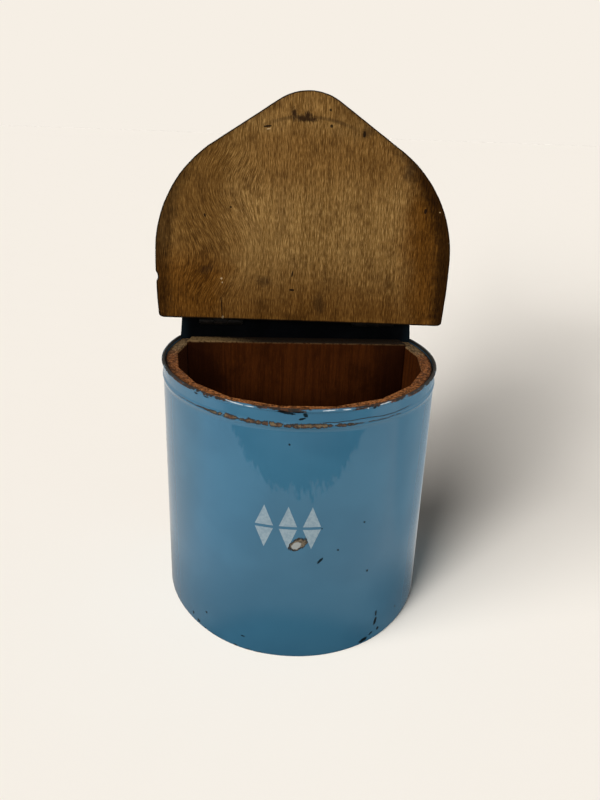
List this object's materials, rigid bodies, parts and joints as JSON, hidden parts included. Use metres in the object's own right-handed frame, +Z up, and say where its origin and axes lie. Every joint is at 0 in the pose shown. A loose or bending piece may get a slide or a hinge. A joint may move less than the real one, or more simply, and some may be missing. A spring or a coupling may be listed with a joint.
{
  "type": "wall salt box",
  "caption": "Blue enamelled salt box for a kitchen wall, D-shaped in plan and lined with wooden staves, with a pointed wooden lid that stands open on its hinges.",
  "frame": {"origin": "the centre of the hanging hole, in the plane of the room's wall", "axes": "+X to the right seen from the front, +Y back into the room's wall, +Z up"},
  "size_m": [0.1814, 0.1381, 0.2973],
  "materials": {
    "enamel_blue": "gloss",
    "enamel_dark": "worn satin",
    "wood_lining": "worn matte",
    "wood_lid": "worn satin",
    "hinge_steel": "blackened",
    "fastener_steel": "blackened"
  },
  "bodies": {
    "case": {"enamel_wall": "enamel_blue", "back_plate": "enamel_dark", "bottom_plate": "enamel_blue", "liner_floor": "wood_lining", "liner_back_board": "wood_lining", "plate_hinge_leaf_left": "hinge_steel", "plate_hinge_leaf_right": "hinge_steel", "hinge_pin_left": "hinge_steel", "hinge_pin_right": "hinge_steel", "plate_hinge_rivets": "fastener_steel", "liner_stave_01": "wood_lining", "liner_stave_02": "wood_lining", "liner_stave_03": "wood_lining", "liner_stave_04": "wood_lining", "liner_stave_05": "wood_lining", "liner_stave_06": "wood_lining", "liner_stave_07": "wood_lining", "liner_stave_08": "wood_lining", "liner_stave_09": "wood_lining", "liner_stave_10": "wood_lining", "liner_stave_11": "wood_lining"},
    "lid": {"lid_board": "wood_lid", "lid_hinge_leaf_left": "hinge_steel", "lid_hinge_leaf_right": "hinge_steel", "lid_hinge_screws": "fastener_steel"}
  },
  "joints": [
    {"name": "lid_hinge", "type": "hinge", "parent": "case", "child": "lid", "pos_m": [0, -0.004, -0.026], "axis": [1, 0, 0], "range_deg": [0, 97.9]}
  ]
}
